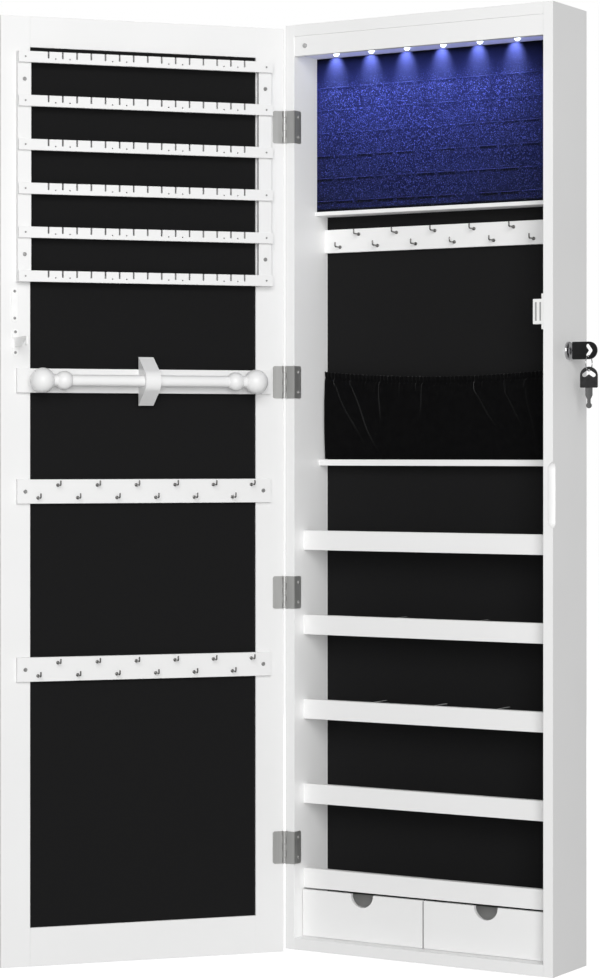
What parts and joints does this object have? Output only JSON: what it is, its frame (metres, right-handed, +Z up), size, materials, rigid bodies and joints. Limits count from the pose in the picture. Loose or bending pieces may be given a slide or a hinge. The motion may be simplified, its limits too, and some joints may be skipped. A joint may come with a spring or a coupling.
{
  "type": "jewelry armoire",
  "caption": "Wall-hung jewelry armoire: a shallow white cabinet with a hinged mirror door, lamps, ring cushion, hooks, pouch, shelves, drawers and a keyed lock.",
  "frame": {"origin": "middle of the cabinet's back face, which lies on the wall", "axes": "+X to the right along the front, -Y out into the room, +Z up"},
  "size_m": [0.6716, 0.4184, 1.204],
  "materials": {
    "white_lacquer": "satin white lacquer on fibreboard",
    "back_board": "plain fibreboard",
    "black_lining": "black flocked lining",
    "drawer_box": "white lined board",
    "ring_velvet": "blue-black velvet over foam",
    "pouch_cloth": "black gathered cloth",
    "mirror_glass": "silvered mirror",
    "satin_nickel": "satin nickel",
    "dark_nickel": "dark nickel",
    "bright_chrome": "polished chrome",
    "zinc_steel": "zinc-plated steel",
    "white_metal": "white painted steel",
    "white_plastic": "moulded white plastic",
    "key_plastic": "moulded black plastic",
    "lamp_lens": "clear lens over a cool lamp",
    "cell_sleeve": "printed metal sleeve"
  },
  "bodies": {
    "cabinet": {"left_side_panel": "white_lacquer", "right_side_panel": "white_lacquer", "top_panel": "white_lacquer", "bottom_panel": "white_lacquer", "light_fascia": "white_lacquer", "light_board": "white_lacquer", "ring_ledge": "white_lacquer", "necklace_strip": "white_lacquer", "pouch_shelf": "white_lacquer", "shelf_1": "white_lacquer", "shelf_2": "white_lacquer", "shelf_3": "white_lacquer", "shelf_4": "white_lacquer", "drawer_deck": "white_lacquer", "dividers": "white_lacquer", "back_panel": "back_board", "back_lining": "black_lining", "ring_cushion": "ring_velvet", "pouch": "pouch_cloth", "hinge_cabinet_leaves": "satin_nickel", "hinge_pins": "satin_nickel", "cabinet_screws": "satin_nickel", "necklace_hooks": "dark_nickel", "lock_barrel": "bright_chrome", "hanger_plates": "zinc_steel", "lock_nut": "zinc_steel", "catch_poles": "zinc_steel", "magnet_catch": "white_plastic", "battery_tray_and_switch": "white_plastic", "led_lenses": "lamp_lens", "batteries": "cell_sleeve"},
    "door": {"door_hinge_stile": "white_lacquer", "door_latch_stile": "white_lacquer", "door_top_rail": "white_lacquer", "door_bottom_rail": "white_lacquer", "door_lining": "black_lining", "door_mirror": "mirror_glass", "earring_posts": "white_lacquer", "earring_bars": "white_lacquer", "bracelet_strip": "white_lacquer", "bracelet_bracket": "white_lacquer", "bracelet_rod": "white_lacquer", "door_hook_strips": "white_lacquer", "door_hooks": "dark_nickel", "strike_plate": "white_metal", "lock_tongue": "white_metal", "hinge_door_leaves": "satin_nickel", "door_screws": "satin_nickel"},
    "lock": {"lock_plug": "bright_chrome", "lock_cam": "zinc_steel", "key_blade": "zinc_steel", "key_head": "key_plastic"},
    "key_ring": {"key_ring": "bright_chrome"},
    "spare_key": {"spare_key_blade": "zinc_steel", "spare_key_head": "key_plastic"},
    "light_button": {"light_button": "white_plastic"},
    "drawer_left": {"drawer_left_front": "white_lacquer", "drawer_left_box": "drawer_box"},
    "drawer_right": {"drawer_right_front": "white_lacquer", "drawer_right_box": "drawer_box"}
  },
  "joints": [
    {"name": "door_hinge", "type": "hinge", "parent": "cabinet", "child": "door", "pos_m": [-0.1906, -0.1015, 0], "axis": [0, 0, -1], "range_deg": [-129, 36]},
    {"name": "drawer_left_slide", "type": "slide", "parent": "cabinet", "child": "drawer_left", "axis": [0, -1, 0], "range_m": [0, 0.045]},
    {"name": "drawer_right_slide", "type": "slide", "parent": "cabinet", "child": "drawer_right", "axis": [0, -1, 0], "range_m": [0, 0.045]},
    {"name": "lock_turn", "type": "hinge", "parent": "cabinet", "child": "lock", "pos_m": [0.19, -0.055, 0.1715], "axis": [-1, 0, 0], "range_deg": [0, 90]},
    {"name": "key_ring_swing", "type": "hinge", "parent": "lock", "child": "key_ring", "pos_m": [0.21783, -0.055, 0.1621], "axis": [-1, 0, 0], "range_deg": [-90, 0]},
    {"name": "spare_key_swing", "type": "hinge", "parent": "key_ring", "child": "spare_key", "pos_m": [0.21783, -0.055, 0.14605], "axis": [-0.4226, 0.9063, 0], "range_deg": [-20, 20]},
    {"name": "light_button_press", "type": "slide", "parent": "cabinet", "child": "light_button", "axis": [0, 1, 0], "range_m": [0, 0.0015], "stiffness_N_per_m": 400, "springref_m": -0.001}
  ],
  "couplings": [
    {"joint": "key_ring_swing", "follows": "lock_turn", "ratio": -1}
  ]
}
